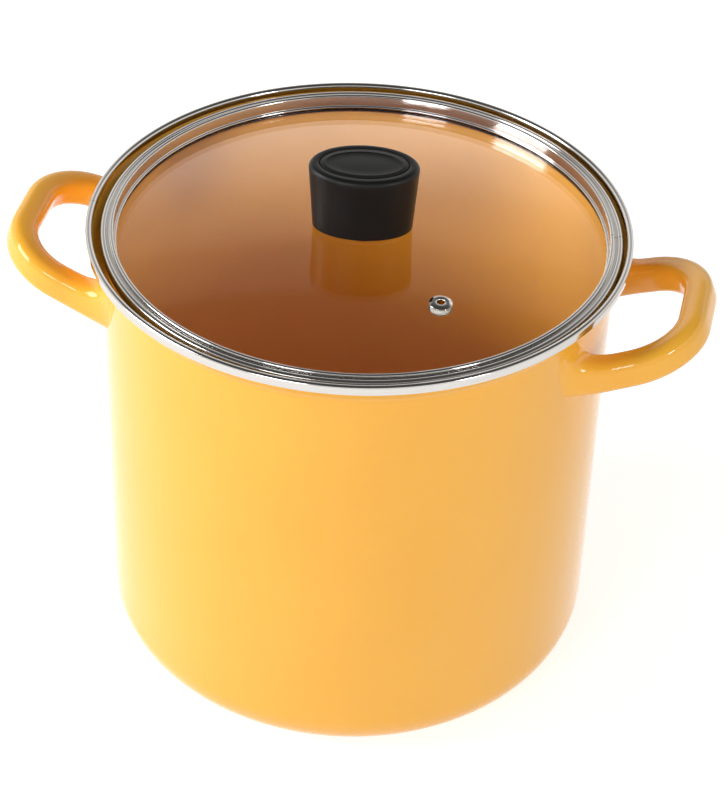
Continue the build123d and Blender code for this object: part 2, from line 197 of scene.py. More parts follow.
@dataclass
class SharedEffects:
    """Node groups that several finishes use."""

    brushing: Optional[Tree] = None
    specks: Optional[Tree] = None
    unevenness: Optional[Tree] = None

    def build(self) -> None:
        """Makes every shared group once."""
        self.brushing = self._brushing()
        self.specks = self._specks()
        self.unevenness = self._unevenness()

    def _brushing(self) -> Tree:
        """Fine lines that run round the Z axis, as on rolled and polished sheet.

        Returns:
            A group with Fineness and Run inputs and a Lines output.
        """
        group, source, sink = new_group(
            "turned_brushing",
            [
                ("Vector", "NodeSocketVector", 0.0),
                ("Fineness", "NodeSocketFloat", 2600.0),
                ("Run", "NodeSocketFloat", 9.0),
            ],
            [("Lines", "NodeSocketFloat")],
        )
        w = Wiring(group)
        parts = w.add("ShaderNodeSeparateXYZ", Vector=source.outputs["Vector"])
        flat = w.add("ShaderNodeCombineXYZ", X=parts.outputs["X"], Y=parts.outputs["Y"])
        length = w.add("ShaderNodeVectorMath", operation="LENGTH", Vector=flat.outputs[0])
        around = w.add("ShaderNodeVectorMath", operation="NORMALIZE", Vector=flat.outputs[0])
        run = w.add("ShaderNodeVectorMath", operation="SCALE", Vector=around.outputs[0])
        w.link(source.outputs["Run"], run.inputs["Scale"])
        height = w.math("MULTIPLY", parts.outputs["Z"], source.outputs["Fineness"])
        lifted = w.add("ShaderNodeCombineXYZ", Z=height)
        place = w.add("ShaderNodeVectorMath", operation="ADD")
        w.link(run.outputs[0], place.inputs[0])
        w.link(lifted.outputs[0], place.inputs[1])
        across = w.math("MULTIPLY", length.outputs["Value"], source.outputs["Fineness"])
        noise = w.add("ShaderNodeTexNoise", noise_dimensions="4D", Scale=1.0, Detail=3.0)
        w.put(noise, Vector=place.outputs[0], W=across)
        w.link(noise.outputs["Fac"], sink.inputs["Lines"])
        return group

    def _specks(self) -> Tree:
        """A few small round specks, scattered.

        Returns:
            A group with Cell, Radius and Share inputs and a Mask output.
        """
        group, source, sink = new_group(
            "scattered_specks",
            [
                ("Vector", "NodeSocketVector", 0.0),
                ("Cell", "NodeSocketFloat", 40.0),
                ("Radius", "NodeSocketFloat", 0.02),
                ("Share", "NodeSocketFloat", 0.3),
            ],
            [("Mask", "NodeSocketFloat")],
        )
        w = Wiring(group)
        cells = w.add("ShaderNodeTexVoronoi", feature="F1", Randomness=1.0)
        w.put(cells, Vector=source.outputs["Vector"], Scale=source.outputs["Cell"])
        lot = w.add("ShaderNodeSeparateColor")
        w.link(cells.outputs["Color"], lot.inputs[0])
        least = 0.35
        size = w.math("MULTIPLY", source.outputs["Radius"], w.math("ADD", lot.outputs[1], least))
        near = w.math("LESS_THAN", cells.outputs["Distance"], size)
        chosen = w.math("LESS_THAN", lot.outputs[0], source.outputs["Share"])
        w.link(w.math("MULTIPLY", near, chosen), sink.inputs["Mask"])
        return group

    def _unevenness(self) -> Tree:
        """Slow waves with finer ones on them.

        Returns:
            A group with Broad and Fine inputs and a Height output.
        """
        group, source, sink = new_group(
            "slow_unevenness",
            [
                ("Vector", "NodeSocketVector", 0.0),
                ("Broad", "NodeSocketFloat", 9.0),
                ("Fine", "NodeSocketFloat", 160.0),
                ("Fine Share", "NodeSocketFloat", 0.25),
            ],
            [("Height", "NodeSocketFloat")],
        )
        w = Wiring(group)
        heights = []
        for label in ("Broad", "Fine"):
            noise = w.add("ShaderNodeTexNoise", Detail=1.5)
            w.put(noise, Vector=source.outputs["Vector"], Scale=source.outputs[label])
            heights.append(noise.outputs["Fac"])
        fine = w.math("MULTIPLY", heights[1], source.outputs["Fine Share"])
        w.link(w.math("ADD", heights[0], fine), sink.inputs["Height"])
        return group


EFFECTS = SharedEffects()


def new_material(name: str) -> tuple[Material, Wiring, Node]:
    """Makes a material with one Principled shader.

    Args:
        name: the material's name.

    Returns:
        The material, its wiring and its Principled node.
    """
    material = bpy.data.materials.new(name)
    material.use_nodes = True
    wiring = Wiring(material.node_tree)
    material.node_tree.nodes.clear()
    shader = wiring.add("ShaderNodeBsdfPrincipled")
    wiring.add("ShaderNodeOutputMaterial", Surface=shader.outputs[0])
    return material, wiring, shader


def place_effect(
    wiring: Wiring, group: Tree, **values: float
) -> Node:
    """Puts a shared group in a material, on Object coordinates.

    Args:
        wiring: the material's wiring.
        group: the shared group.
        values: the group's own inputs, with spaces as underscores.

    Returns:
        The group node.
    """
    place = wiring.add("ShaderNodeTexCoord")
    node = wiring.add("ShaderNodeGroup", node_tree=group)
    wiring.put(node, Vector=place.outputs["Object"], **values)
    return node


def add_bump(
    wiring: Wiring,
    shader: Node,
    height: Socket,
    strength: float,
    distance: float,
    under: Optional[Socket] = None,
) -> Socket:
    """Feeds a height into the shader's normal.

    Args:
        wiring: the material's wiring.
        shader: the Principled node.
        height: the height, 0 to 1.
        strength: the bump's strength.
        distance: the height of 1, in metres.
        under: another bump's normal that this one lies on.

    Returns:
        The bump's normal.
    """
    bump = wiring.add("ShaderNodeBump", Strength=strength, Distance=distance, Height=height)
    if under is not None:
        wiring.link(under, bump.inputs["Normal"])
    wiring.link(bump.outputs[0], shader.inputs["Normal"])
    return bump.outputs[0]


# ---------------------------------------------------------------- finishes


@dataclass(frozen=True)
class EnamelFinish:
    """Glossy vitreous enamel fired on steel, with a faint orange peel and a few pinholes."""

    tone: Colour = (0.95, 0.445, 0.038, 1.0)
    pale_tone: Colour = (0.97, 0.49, 0.050, 1.0)
    pinhole: Colour = (0.10, 0.035, 0.008, 1.0)
    gloss: Point2 = (0.045, 0.085)
    peel: Point2 = (0.22, 0.0006)
    pit: Point2 = (0.5, 0.0002)

    def build(self) -> Material:
        """Makes the material."""
        material, w, shader = new_material("vitreous_enamel")
        waves = place_effect(w, EFFECTS.unevenness, Broad=14.0, Fine=210.0, Fine_Share=0.3)
        holes = place_effect(w, EFFECTS.specks, Cell=34.0, Radius=0.016, Share=0.16)
        glaze = w.blend(waves.outputs[0], self.tone, self.pale_tone)
        colour = w.blend(holes.outputs[0], glaze, self.pinhole)
        w.put(shader, Base_Color=colour, Roughness=w.span(waves.outputs[0], *self.gloss), IOR=1.5)
        peel = add_bump(w, shader, waves.outputs[0], *self.peel)
        add_bump(w, shader, w.math("SUBTRACT", 1.0, holes.outputs[0]), *self.pit, peel)
        return material


@dataclass(frozen=True)
class SteelFinish:
    """Rolled stainless sheet with fine brushing that runs round the pot."""

    tone: Colour = (0.70, 0.68, 0.655, 1.0)
    dull: Colour = (0.56, 0.54, 0.52, 1.0)
    gloss: Point2 = (0.14, 0.05)
    rolling: Point2 = (0.10, 0.00006)
    grain: Point2 = (0.07, 0.00003)

    def build(self) -> Material:
        """Makes the material."""
        material, w, shader = new_material("brushed_stainless")
        lines = place_effect(w, EFFECTS.brushing, Fineness=2600.0, Run=11.0)
        waves = place_effect(w, EFFECTS.unevenness, Broad=30.0, Fine=700.0, Fine_Share=0.5)
        w.put(
            shader,
            Base_Color=w.blend(lines.outputs[0], self.dull, self.tone),
            Metallic=1.0,
            Roughness=w.span(lines.outputs[0], *self.gloss),
        )
        slow = add_bump(w, shader, waves.outputs[0], *self.rolling)
        add_bump(w, shader, lines.outputs[0], *self.grain, slow)
        return material


@dataclass(frozen=True)
class GlassFinish:
    """Clear tempered glass with a little dust. Light passes straight through its shadow."""

    tone: Colour = (0.955, 0.955, 0.94, 1.0)
    gloss: Point2 = (0.012, 0.5)
    ripple: Point2 = (0.05, 0.0004)

    def build(self) -> Material:
        """Makes the material."""
        material, w, shader = new_material("tempered_glass")
        w.put(shader, Base_Color=self.tone, Transmission_Weight=1.0, IOR=1.5)
        dust = place_effect(w, EFFECTS.specks, Cell=120.0, Radius=0.030, Share=0.10)
        w.put(shader, Roughness=w.span(dust.outputs[0], *self.gloss))
        waves = place_effect(w, EFFECTS.unevenness, Broad=16.0, Fine=60.0, Fine_Share=0.2)
        add_bump(w, shader, waves.outputs[0], *self.ripple)
        clear = w.add("ShaderNodeBsdfTransparent", Color=self.tone)
        path = w.add("ShaderNodeLightPath")
        mix = w.add("ShaderNodeMixShader")
        w.link(path.outputs["Is Shadow Ray"], mix.inputs[0])
        w.link(shader.outputs[0], mix.inputs[1])
        w.link(clear.outputs[0], mix.inputs[2])
        out = next(n for n in material.node_tree.nodes if n.type == "OUTPUT_MATERIAL")
        w.link(mix.outputs[0], out.inputs["Surface"])
        return material


@dataclass(frozen=True)
class PhenolicFinish:
    """Satin black moulded phenolic with a fine, even grain."""

    tone: Colour = (0.0055, 0.0052, 0.0052, 1.0)
    bloom: Colour = (0.013, 0.0122, 0.0122, 1.0)
    bloom_share: Point2 = (0.0, 0.35)
    gloss: Point2 = (0.26, 0.38)
    grain: Point2 = (0.12, 0.00012)

    def build(self) -> Material:
        """Makes the material."""
        material, w, shader = new_material("moulded_phenolic")
        waves = place_effect(w, EFFECTS.unevenness, Broad=55.0, Fine=2300.0, Fine_Share=0.8)
        dust = place_effect(w, EFFECTS.specks, Cell=330.0, Radius=0.05, Share=0.06)
        body = w.blend(w.span(waves.outputs[0], *self.bloom_share), self.tone, self.bloom)
        w.put(
            shader,
            Base_Color=w.blend(dust.outputs[0], body, self.bloom),
            Roughness=w.span(waves.outputs[0], *self.gloss),
            Specular_IOR_Level=0.24,
        )
        add_bump(w, shader, waves.outputs[0], *self.grain)
        return material


@dataclass(frozen=True)
class BrassFinish:
    """Turned brass, a little dulled."""

    tone: Colour = (0.78, 0.52, 0.20, 1.0)
    dull: Colour = (0.52, 0.33, 0.13, 1.0)
    gloss: Point2 = (0.38, 0.22)

    def build(self) -> Material:
        """Makes the material."""
        material, w, shader = new_material("turned_brass")
        lines = place_effect(w, EFFECTS.brushing, Fineness=3000.0, Run=6.0)
        w.put(
            shader,
            Base_Color=w.blend(lines.outputs[0], self.dull, self.tone),
            Metallic=1.0,
            Roughness=w.span(lines.outputs[0], *self.gloss),
        )
        return material


@dataclass(frozen=True)
class SiliconeFinish:
    """Milky grey silicone rubber."""

    tone: Colour = (0.55, 0.55, 0.53, 1.0)
    dusty: Colour = (0.66, 0.65, 0.62, 1.0)
    gloss: Point2 = (0.45, 0.62)

    def build(self) -> Material:
        """Makes the material."""
        material, w, shader = new_material("silicone_rubber")
        waves = place_effect(w, EFFECTS.unevenness, Broad=120.0, Fine=900.0, Fine_Share=0.5)
        w.put(
            shader,
            Base_Color=w.blend(waves.outputs[0], self.tone, self.dusty),
            Roughness=w.span(waves.outputs[0], *self.gloss),
            Subsurface_Weight=0.15,
            Subsurface_Scale=0.002,
        )
        return material


@dataclass(frozen=True)
class WireFinish:
    """Bright plated wire with faint drawing marks and water spots."""

    tone: Colour = (0.70, 0.70, 0.71, 1.0)
    spotted: Colour = (0.50, 0.49, 0.47, 1.0)
    gloss: Point2 = (0.14, 0.30)
    marks: Point2 = (0.12, 0.0001)

    def build(self) -> Material:
        """Makes the material."""
        material, w, shader = new_material("plated_wire")
        waves = place_effect(w, EFFECTS.unevenness, Broad=60.0, Fine=1400.0, Fine_Share=0.5)
        spots = place_effect(w, EFFECTS.specks, Cell=150.0, Radius=0.16, Share=0.2)
        w.put(
            shader,
            Base_Color=w.blend(spots.outputs[0], self.tone, self.spotted),
            Metallic=1.0,
            Roughness=w.span(waves.outputs[0], *self.gloss),
        )
        add_bump(w, shader, waves.outputs[0], *self.marks)
        return material


@dataclass(frozen=True)
class FloorFinish:
    """Matt white studio floor, lit a little from below so that it stays white."""

    tone: Colour = (0.74, 0.74, 0.735, 1.0)
    second: Colour = (0.75, 0.75, 0.745, 1.0)
    glow: float = 0.66

    def build(self) -> Material:
        """Makes the material."""
        material, w, shader = new_material("studio_floor")
        waves = place_effect(w, EFFECTS.unevenness, Broad=3.0, Fine=40.0, Fine_Share=0.2)
        path = w.add("ShaderNodeLightPath")
        seen = w.math("SUBTRACT", 1.0, path.outputs["Is Diffuse Ray"])
        w.put(
            shader,
            Base_Color=w.blend(waves.outputs[0], self.tone, self.second),
            Roughness=0.9,
            Specular_IOR_Level=0.2,
            Emission_Color=(1.0, 1.0, 1.0, 1.0),
            Emission_Strength=w.math("MULTIPLY", seen, self.glow),
        )
        return material


def finishes() -> Finishes:
    """Makes one material for each slot of the record."""
    return {
        Slot.ENAMEL: EnamelFinish().build(),
        Slot.STAINLESS: SteelFinish().build(),
        Slot.GLASS: GlassFinish().build(),
        Slot.PHENOLIC: PhenolicFinish().build(),
        Slot.BRASS: BrassFinish().build(),
        Slot.SILICONE: SiliconeFinish().build(),
        Slot.RACK_WIRE: WireFinish().build(),
    }


def dress(piece: Piece, material: Material) -> None:
    """Gives a piece one material in place of all it had."""
    piece.data.materials.clear()
    piece.data.materials.append(material)


# ---------------------------------------------------------------- modelling tools


def fresh() -> None:
    """Deselects everything, so that an operator acts only on what follows."""
    if bpy.context.object is not None and bpy.context.object.mode != "OBJECT":
        bpy.ops.object.mode_set(mode="OBJECT")
    bpy.ops.object.select_all(action="DESELECT")


def pick(piece: Piece) -> None:
    """Selects one piece alone and makes it the active one."""
    fresh()
    piece.select_set(True)
    bpy.context.view_layer.objects.active = piece


def rounded(corners: Sequence[Point2], radii: Sequence[float], steps: int = 6) -> list[Point2]:
    """Rounds the corners of an open profile.

    Args:
        corners: radius and height of each corner, in metres.
        radii: the rounding at each corner. The first and last aren't rounded.
        steps: segments in each rounding.

    Returns:
        The profile's points.
    """
    points = [corners[0]]
    for before, corner, after, radius in zip(corners, corners[1:], corners[2:], radii[1:]):
        here = Vector(corner)
        back = (Vector(before) - here).normalized()
        ahead = (Vector(after) - here).normalized()
        half = back.angle(ahead) / 2
        if radius <= 0 or half > STRAIGHT:
            points.append(corner)
            continue
        centre = here + (back + ahead).normalized() * (radius / math.sin(half))
        start = here + back * (radius / math.tan(half)) - centre
        end = here + ahead * (radius / math.tan(half)) - centre
        turn = start.angle_signed(end)
        for step in range(steps + 1):
            angle = -turn * step / steps
            arm = Vector(
                (
                    start.x * math.cos(angle) - start.y * math.sin(angle),
                    start.x * math.sin(angle) + start.y * math.cos(angle),
                )
            )
            points.append(tuple(centre + arm))
    points.append(corners[-1])
    return points


def stacked(name: str, rings: Sequence[tuple[float, float, float]], around: int) -> Piece:
    """Extrudes a circle from ring to ring, in edit mode.

    Args:
        name: the piece's name.
        rings: half length in X, half width in Y and height of each ring, in metres.
        around: vertices round each ring.

    Returns:
        The open skin.
    """
    fresh()
    wide, deep, height = rings[0]
    bpy.ops.mesh.primitive_circle_add(vertices=around, radius=1.0, fill_type="NOTHING")
    piece = bpy.context.object
    piece.name = name
    bpy.ops.object.mode_set(mode="EDIT")
    bpy.ops.mesh.select_all(action="SELECT")
    bpy.ops.transform.resize(value=(wide, deep, 1.0), center_override=(0, 0, 0))
    bpy.ops.transform.translate(value=(0, 0, height))
    for next_wide, next_deep, next_height in rings[1:]:
        bpy.ops.mesh.extrude_region_move(
            TRANSFORM_OT_translate={"value": (0, 0, next_height - height)}
        )
        bpy.ops.transform.resize(
            value=(next_wide / wide, next_deep / deep, 1.0), center_override=(0, 0, next_height)
        )
        wide, deep, height = next_wide, next_deep, next_height
    bpy.ops.object.mode_set(mode="OBJECT")
    return piece


def turned(name: str, profile: Sequence[Point2], around: int) -> Piece:
    """Turns a profile about Z into an open skin."""
    return stacked(name, [(radius, radius, height) for radius, height in profile], around)


def sealed(piece: Piece, loop: bool) -> Piece:
    """Closes a turned skin and points its faces outwards.

    Args:
        piece: the open skin.
        loop: True joins its two ends to each other, False fills each end with a fan.

    Returns:
        The closed piece.
    """
    pick(piece)
    bpy.ops.object.mode_set(mode="EDIT")
    bpy.ops.mesh.select_all(action="SELECT")
    bpy.ops.mesh.remove_doubles(threshold=WELD)
    bpy.ops.mesh.select_all(action="DESELECT")
    bpy.ops.mesh.select_non_manifold()
    if loop:
        bpy.ops.mesh.bridge_edge_loops()
    else:
        bpy.ops.mesh.fill_holes(sides=0)
    bpy.ops.mesh.select_all(action="SELECT")
    bpy.ops.mesh.normals_make_consistent(inside=False)
    bpy.ops.object.mode_set(mode="OBJECT")
    return piece


def apply_modifier(piece: Piece, kind: str, **settings: object) -> None:
    """Adds a modifier, sets it and applies it.

    Args:
        piece: the piece.
        kind: the modifier's type.
        settings: its properties.
    """
    pick(piece)
    modifier = piece.modifiers.new(kind.lower(), kind)
    for name, value in settings.items():
        setattr(modifier, name, value)
    bpy.ops.object.modifier_apply(modifier=modifier.name)


def cut(piece: Piece, tool: Piece) -> None:
    """Takes the tool's shape out of the piece and deletes the tool."""
    apply_modifier(piece, "BOOLEAN", operation="DIFFERENCE", object=tool, solver="EXACT")
    bpy.data.objects.remove(tool)


def bore(
    piece: Piece,
    radius: float,
    depth: float,
    place: Sequence[float],
    turn: Sequence[float] = (0, 0, 0),
    around: int = 48,
) -> None:
    """Cuts a round hole in a piece.

    Args:
        piece: the piece.
        radius: the hole's radius.
        depth: the length of the cutting cylinder.
        place: the cylinder's centre.
        turn: its Euler angles.
        around: vertices round it.
    """
    fresh()
    bpy.ops.mesh.primitive_cylinder_add(
        vertices=around, radius=radius, depth=depth, location=place, rotation=turn
    )
    drill = bpy.context.object
    bpy.ops.object.transform_apply(location=True, rotation=True, scale=True)
    cut(piece, drill)


def settle(piece: Piece, turn: Sequence[float], shift: Sequence[float]) -> None:
    """Turns and shifts a finished piece, and puts its place in its mesh.

    Args:
        piece: the piece, at the origin.
        turn: its Euler angles.
        shift: how far it moves.
    """
    pick(piece)
    piece.rotation_euler = turn
    piece.location = shift
    bpy.ops.object.transform_apply(location=True, rotation=True, scale=True)


def smooth(piece: Piece, degrees: float = 35.0) -> None:
    """Shades a piece smooth, except over edges sharper than an angle."""
    pick(piece)
    bpy.ops.object.shade_smooth_by_angle(angle=math.radians(degrees))


def hand_over(
    piece: Piece,
    body: Body,
    slot: Slot,
    materials: Finishes,
    node: str,
) -> None:
    """Dresses a finished piece and ties it to the frame.

    Args:
        piece: the finished piece.
        body: the body it moves with.
        slot: its material slot.
        materials: the finishes by slot.
        node: the CAD node it stands for.
    """
    smooth(piece)
    dress(piece, materials[slot])
    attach(piece, body.value)
    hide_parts(node)
    log.info("built %s", piece.name)


def gap_cutter(angle: float, reach: float, height: float, gap: float) -> Piece:
    """A thin blade that cuts the butt joint of a rolled ring.

    Args:
        angle: where the joint is, about Z.
        reach: the ring's radius.
        height: the ring's height.
        gap: the joint's width.

    Returns:
        The blade.
    """
    fresh()
    bpy.ops.mesh.primitive_cube_add(size=1.0)
    blade = bpy.context.object
    blade.scale = (BLADE_LONG, gap, BLADE_TALL)
    blade.rotation_euler = (0, 0, angle)
    blade.location = (reach * math.cos(angle), reach * math.sin(angle), height)
    bpy.ops.object.transform_apply(location=True, rotation=True, scale=True)
    return blade


# ---------------------------------------------------------------- the pot


@dataclass
class Pot:
    """Enamelled shell with a flared mouth, and the steel trim on its edge."""

    materials: Finishes
    height: float = 0.272
    radius: float = 0.140
    wall: float = 0.0012
    corner: float = 0.030
    lip: float = 0.1456
    rim: float = 0.1485
    bead: float = 0.1479
    bead_top: float = 0.2714
    bead_tall: float = 0.0034
    flare_start: float = 0.258
    flare_end: float = 0.2675
    flare_offset: float = 0.0004
    trim_sheet: float = 0.0005
    trim_inner: float = 0.1450
    trim_joint: float = math.radians(186.0)
    trim_drop: float = 0.0042
    trim_curl: float = 0.0050
    joint_gap: float = 0.0003
    centre: float = 0.002
    shell_around: int = 288
    trim_around: int = 320

    def build(self) -> None:
        """Makes the shell and the trim."""
        self._shell()
        self._trim()

    def _shell(self) -> None:
        """One closed skin: bottom, wall, flare, bead and inside."""
        inner = self.radius - self.wall
        lip_outer = self.lip + self.wall
        bead_bottom = self.bead_top - self.bead_tall
        corners = [
            (self.centre, 0.0),
            (self.radius, 0.0),
            (self.radius, self.flare_start - self.flare_offset),
            (lip_outer, self.flare_end - self.flare_offset),
            (lip_outer, bead_bottom),
            (self.bead, bead_bottom),
            (self.bead, self.bead_top),
            (self.lip, self.bead_top),
            (self.lip, self.flare_end),
            (inner, self.flare_start),
            (inner, self.wall),
            (self.centre, self.wall),
        ]
        radii = [0, self.corner, 0.007, 0.0012, 0.0004, 0.0008, 0.001, 0.001, 0.002, 0.008]
        radii += [self.corner - self.wall, 0]
        outline = rounded(corners, radii, steps=10)
        shell = sealed(turned("pot_shell_enamelled", outline, self.shell_around), False)
        hand_over(shell, Body.POT, Slot.ENAMEL, self.materials, "pot_shell")

    def _trim(self) -> None:
        """Rolled steel over the bead, with a butt joint."""
        half = self.trim_sheet / 2
        left = self.trim_inner + half
        right = self.rim - half
        top = self.height - half
        corners = [
            (left, self.height - self.trim_drop),
            (left, top),
            (right, top),
            (right, self.height - self.trim_curl),
        ]
        outline = rounded(corners, [0, 0.0015, 0.00115, 0], steps=8)
        trim = turned("rim_trim_rolled", outline, self.trim_around)
        apply_modifier(trim, "SOLIDIFY", thickness=self.trim_sheet, offset=0.0)
        cut(trim, gap_cutter(self.trim_joint, self.rim, self.height, self.joint_gap))
        hand_over(trim, Body.POT, Slot.STAINLESS, self.materials, "pot_rim_trim")


@dataclass
class LoopHandle:
    """A tube bent in a loop that rises outwards, its feet flared on to the wall."""

    materials: Finishes
    name: str = "handle_right"
    turn: float = math.radians(-2.0)
    root_x: float = 0.134
    root_half: float = 0.0474
    root_z: float = 0.2268
    rise: float = math.radians(21.9)
    reach: float = 0.0567
    splay: float = math.radians(5.3)
    bend: float = 0.033
    bend_steps: int = 18
    thickness: float = 0.016
    tall: float = 0.018
    corner: float = 0.0058
    corner_steps: int = 5
    body_radius: float = 0.1396
    wall_tall: float = 0.2
    foot_start: float = 0.021
    foot_depth: float = 0.0045
    foot_sink: float = 0.0012
    foot_wide: float = 0.032
    foot_tall: float = 0.039
    foot_out: float = 0.0052
    foot_up: float = 0.0074
    foot_slant: float = 0.20
    foot_turn: float = math.radians(86.0)
    foot_steps: int = 10
    foot_inside: float = 0.008

    def build(self) -> None:
        """Makes the whole handle, with its feet cut to the pot's round wall."""
        loop = self._half_loop()
        apply_modifier(
            loop, "MIRROR", use_axis=(False, True, False), use_clip=True, merge_threshold=1e-5
        )
        sealed(loop, False)
        apply_modifier(loop, "SUBSURF", levels=1, render_levels=1)
        bore(loop, self.body_radius, self.wall_tall, (0, 0, self.root_z), around=256)
        settle(loop, (0, 0, self.turn), (0, 0, 0))
        hand_over(loop, Body.POT, Slot.ENAMEL, self.materials, self.name)

    def _to_frame(self, x: float, y: float, z: float) -> Vector:
        """From the loop's own plane to the pot's frame, before the handle's turn."""
        return Vector(
            (
                self.root_x + x * math.cos(self.rise) - z * math.sin(self.rise),
                y,
                self.root_z + x * math.sin(self.rise) + z * math.cos(self.rise),
            )
        )

    def _centre_line(self) -> list[tuple[Vector, Vector]]:
        """Stations from the loop's tip to the foot's start.

        Returns:
            The centre and the outward direction of each station, in the loop's own plane.
        """
        corner_y = -self.root_half + self.reach * math.tan(self.splay)
        start = self._branch(self.foot_start)
        corners = [(self.reach, 0.0), (self.reach, corner_y), (start.x, start.y)]
        flat = rounded(corners, [0, self.bend, 0], self.bend_steps)
        stations = []
        for number, point in enumerate(flat):
            before = Vector(flat[max(number - 1, 0)])
            after = Vector(flat[min(number + 1, len(flat) - 1)])
            along = (after - before).normalized()
            stations.append((Vector(point), Vector((-along.y, along.x))))
        return stations

    def _branch(self, along: float) -> Vector:
        """A point on the branch at -Y, at a distance from its root."""
        return Vector(
            (along * math.cos(self.splay), -self.root_half + along * math.sin(self.splay))
        )

    def _half_loop(self) -> Piece:
        """Extrudes the tube's section from the tip round the bend and down the flare."""
        fresh()
        bpy.ops.mesh.primitive_plane_add(size=1.0)
        loop = bpy.context.object
        loop.name = self.name + "_tube"
        bpy.ops.object.mode_set(mode="EDIT")
        bpy.ops.transform.resize(value=(self.thickness, self.tall, 1.0), center_override=(0, 0, 0))
        bpy.ops.mesh.bevel(offset=self.corner, segments=self.corner_steps, affect="VERTICES")
        bpy.ops.mesh.delete(type="ONLY_FACE")
        bpy.ops.mesh.select_all(action="SELECT")
        here = (Vector((0, 0, 0)), Vector((1, 0, 0)), Vector((0, 1, 0)))
        stations = [self._tube_station(station) for station in self._centre_line()]
        stations += self._foot_stations(stations[-1])
        self._carry(loop, here, stations[0])
        for last, following in zip(stations, stations[1:]):
            bpy.ops.mesh.extrude_region_move()
            self._carry(loop, last, following)
        bpy.ops.object.mode_set(mode="OBJECT")
        return loop

    def _tube_station(self, station: tuple[Vector, Vector]) -> Station:
        """Centre and the two section axes at one station of the tube.

        Args:
            station: the centre and the outward direction, in the loop's own plane.

        Returns:
            The station in the pot's frame.
        """
        point, outward = station
        centre = self._to_frame(point.x, point.y, 0)
        across = self._to_frame(point.x + outward.x, point.y + outward.y, 0) - centre
        up = self._to_frame(point.x, point.y, 1) - centre
        return centre, across, up

    def _foot_stations(self, tube_end: Station) -> list[Station]:
        """The flare: a quarter turn of fillet from the tube's end on to the round wall.

        Args:
            tube_end: the last station of the plain tube.

        Returns:
            The flare's stations, the last of them inside the wall.
        """
        start, tube_across, tube_up = tube_end
        inner = self._branch(-self.foot_depth)
        axis_end = self._to_frame(inner.x, inner.y, 0)
        azimuth = math.asin((self.root_half + self.foot_out) / self.body_radius)
        normal = Vector((math.cos(azimuth), -math.sin(azimuth), 0))
        seat = normal * (self.body_radius - self.foot_sink)
        seat.z = self.root_z + self.foot_up
        wall_across = Vector((-math.sin(azimuth), -math.cos(azimuth), 0))
        wall_up = Vector((0, -self.foot_slant, 1))
        stations = []
        for step in range(1, self.foot_steps + 1):
            angle = self.foot_turn * step / self.foot_steps
            along, spread = math.sin(angle), 1 - math.cos(angle)
            centre = start.lerp(axis_end, along) + (seat - axis_end) * spread
            across = tube_across.lerp(wall_across, along * along)
            up = tube_up.lerp(wall_up, along * along)
            across *= 1 + (self.foot_wide / self.thickness - 1) * spread
            up *= 1 + (self.foot_tall / self.tall - 1) * spread
            stations.append((centre, across, up))
        stations.append((centre - normal * self.foot_inside, across, up))
        return stations

    def _carry(self, loop: Piece, last: Station, following: Station) -> None:
        """Carries the selected ring from one station to the next.

        Args:
            loop: the handle in edit mode.
            last: the station where the ring is.
            following: the station where it goes.
        """
        centre, across, up = last
        new_centre, new_across, new_up = following
        mesh = bmesh.from_edit_mesh(loop.data)
        wide, tall, lean = across.length_squared, up.length_squared, across.dot(up)
        share = wide * tall - lean * lean
        for vertex in mesh.verts:
            if vertex.select:
                arm = vertex.co - centre
                x = (arm.dot(across) * tall - arm.dot(up) * lean) / share
                y = (arm.dot(up) * wide - arm.dot(across) * lean) / share
                vertex.co = new_centre + new_across * x + new_up * y
        bmesh.update_edit_mesh(loop.data)


# ---------------------------------------------------------------- the lid


